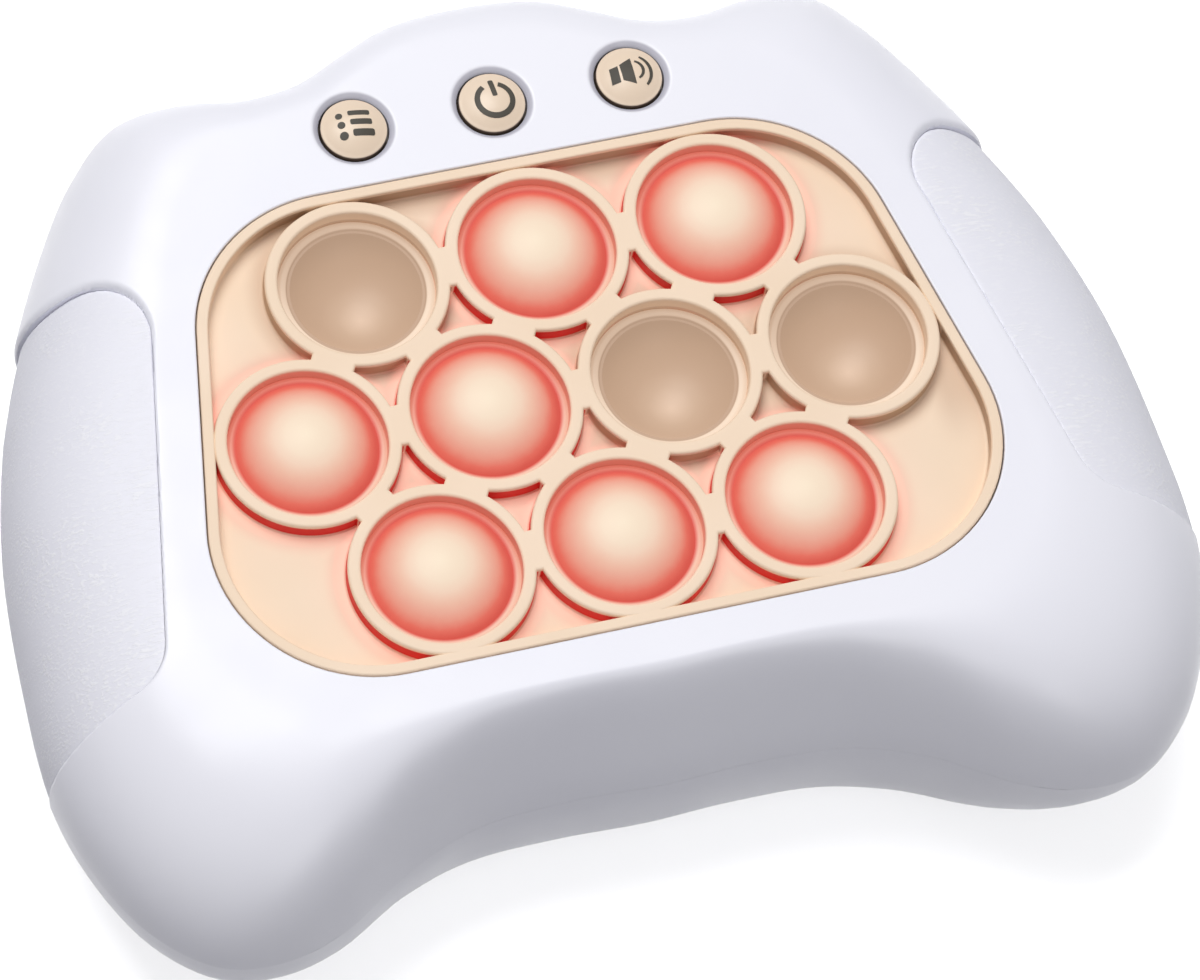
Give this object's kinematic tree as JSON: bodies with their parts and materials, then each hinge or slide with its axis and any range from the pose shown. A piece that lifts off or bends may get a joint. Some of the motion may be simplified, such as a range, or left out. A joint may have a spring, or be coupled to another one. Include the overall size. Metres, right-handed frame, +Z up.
{
  "type": "bubble pop fidget toy",
  "caption": "Game-pad shaped fidget toy: a soft sheet of pop bubbles lit from below, round push buttons, side grips and a battery door.",
  "frame": {"origin": "centre of the overall footprint on the resting surface, under the middle of the bubble field", "axes": "+X to the player's right, +Y from the player towards the row of buttons, +Z up out of the bubble sheet"},
  "size_m": [0.167, 0.1326, 0.0468],
  "materials": {
    "white_shell": "satin gloss moulded plastic with a faint cool tint",
    "grip_panel": "matt, with a fine raised grain",
    "peach_silicone": "soft satin silicone rubber, let through by light",
    "button_plastic": "satin, with a printed symbol",
    "frame_plastic": "plain moulded plastic",
    "board_green": "lacquered circuit board",
    "dark_plastic": "plain black plastic",
    "lamp_lens": "clear red lamp lens",
    "steel": "zinc-plated steel",
    "cell_jacket": "plain shrink sleeve"
  },
  "bodies": {
    "case": {"top_cover": "white_shell", "bottom_cover": "white_shell", "left_grip": "grip_panel", "right_grip": "grip_panel", "bubble_sheet": "peach_silicone", "bubble_switch_01": "dark_plastic", "lamp_01": "lamp_lens", "bubble_switch_02": "dark_plastic", "lamp_02": "lamp_lens", "bubble_switch_03": "dark_plastic", "lamp_03": "lamp_lens", "bubble_switch_04": "dark_plastic", "lamp_04": "lamp_lens", "bubble_switch_05": "dark_plastic", "lamp_05": "lamp_lens", "bubble_switch_06": "dark_plastic", "lamp_06": "lamp_lens", "bubble_switch_07": "dark_plastic", "lamp_07": "lamp_lens", "bubble_switch_08": "dark_plastic", "lamp_08": "lamp_lens", "bubble_switch_09": "dark_plastic", "lamp_09": "lamp_lens", "bubble_switch_10": "dark_plastic", "lamp_10": "lamp_lens", "mode_button_switch": "dark_plastic", "power_button_switch": "dark_plastic", "volume_button_switch": "dark_plastic", "retaining_frame": "frame_plastic", "circuit_board": "board_green", "main_chip": "dark_plastic", "speaker": "dark_plastic", "battery_cell_1": "cell_jacket", "battery_cell_2": "cell_jacket", "battery_cell_3": "cell_jacket", "battery_contact_back": "steel", "battery_contact_front": "steel", "case_screw_1": "steel", "board_screw_1": "steel", "case_screw_2": "steel", "board_screw_2": "steel", "case_screw_3": "steel", "board_screw_3": "steel", "case_screw_4": "steel", "board_screw_4": "steel"},
    "battery_door": {"battery_door": "white_shell", "battery_door_screw": "steel"},
    "bubble_01": {"bubble_01": "peach_silicone"},
    "bubble_02": {"bubble_02": "peach_silicone"},
    "bubble_03": {"bubble_03": "peach_silicone"},
    "bubble_04": {"bubble_04": "peach_silicone"},
    "bubble_05": {"bubble_05": "peach_silicone"},
    "bubble_06": {"bubble_06": "peach_silicone"},
    "bubble_07": {"bubble_07": "peach_silicone"},
    "bubble_08": {"bubble_08": "peach_silicone"},
    "bubble_09": {"bubble_09": "peach_silicone"},
    "bubble_10": {"bubble_10": "peach_silicone"},
    "mode_button": {"mode_button": "button_plastic"},
    "power_button": {"power_button": "button_plastic"},
    "volume_button": {"volume_button": "button_plastic"}
  },
  "joints": [
    {"name": "bubble_01_pop", "type": "slide", "parent": "case", "child": "bubble_01", "axis": [0, 0, 1], "range_m": [0, 0.011]},
    {"name": "bubble_02_pop", "type": "slide", "parent": "case", "child": "bubble_02", "axis": [0, 0, 1], "range_m": [-0.011, 0]},
    {"name": "bubble_03_pop", "type": "slide", "parent": "case", "child": "bubble_03", "axis": [0, 0, 1], "range_m": [-0.011, 0]},
    {"name": "bubble_04_pop", "type": "slide", "parent": "case", "child": "bubble_04", "axis": [0, 0, 1], "range_m": [-0.011, 0]},
    {"name": "bubble_05_pop", "type": "slide", "parent": "case", "child": "bubble_05", "axis": [0, 0, 1], "range_m": [-0.011, 0]},
    {"name": "bubble_06_pop", "type": "slide", "parent": "case", "child": "bubble_06", "axis": [0, 0, 1], "range_m": [0, 0.011]},
    {"name": "bubble_07_pop", "type": "slide", "parent": "case", "child": "bubble_07", "axis": [0, 0, 1], "range_m": [0, 0.011]},
    {"name": "bubble_08_pop", "type": "slide", "parent": "case", "child": "bubble_08", "axis": [0, 0, 1], "range_m": [-0.011, 0]},
    {"name": "bubble_09_pop", "type": "slide", "parent": "case", "child": "bubble_09", "axis": [0, 0, 1], "range_m": [-0.011, 0]},
    {"name": "bubble_10_pop", "type": "slide", "parent": "case", "child": "bubble_10", "axis": [0, 0, 1], "range_m": [-0.011, 0]},
    {"name": "mode_button_press", "type": "slide", "parent": "case", "child": "mode_button", "axis": [0, 0, 1], "range_m": [-0.001, 0], "stiffness_N_per_m": 1500, "springref_m": 0.0003},
    {"name": "power_button_press", "type": "slide", "parent": "case", "child": "power_button", "axis": [0, 0, 1], "range_m": [-0.001, 0], "stiffness_N_per_m": 1500, "springref_m": 0.0003},
    {"name": "volume_button_press", "type": "slide", "parent": "case", "child": "volume_button", "axis": [0, 0, 1], "range_m": [-0.001, 0], "stiffness_N_per_m": 1500, "springref_m": 0.0003},
    {"name": "battery_door_lift_off", "type": "slide", "parent": "case", "child": "battery_door", "axis": [0, 0, 1], "range_m": [-0.014, 0]}
  ]
}
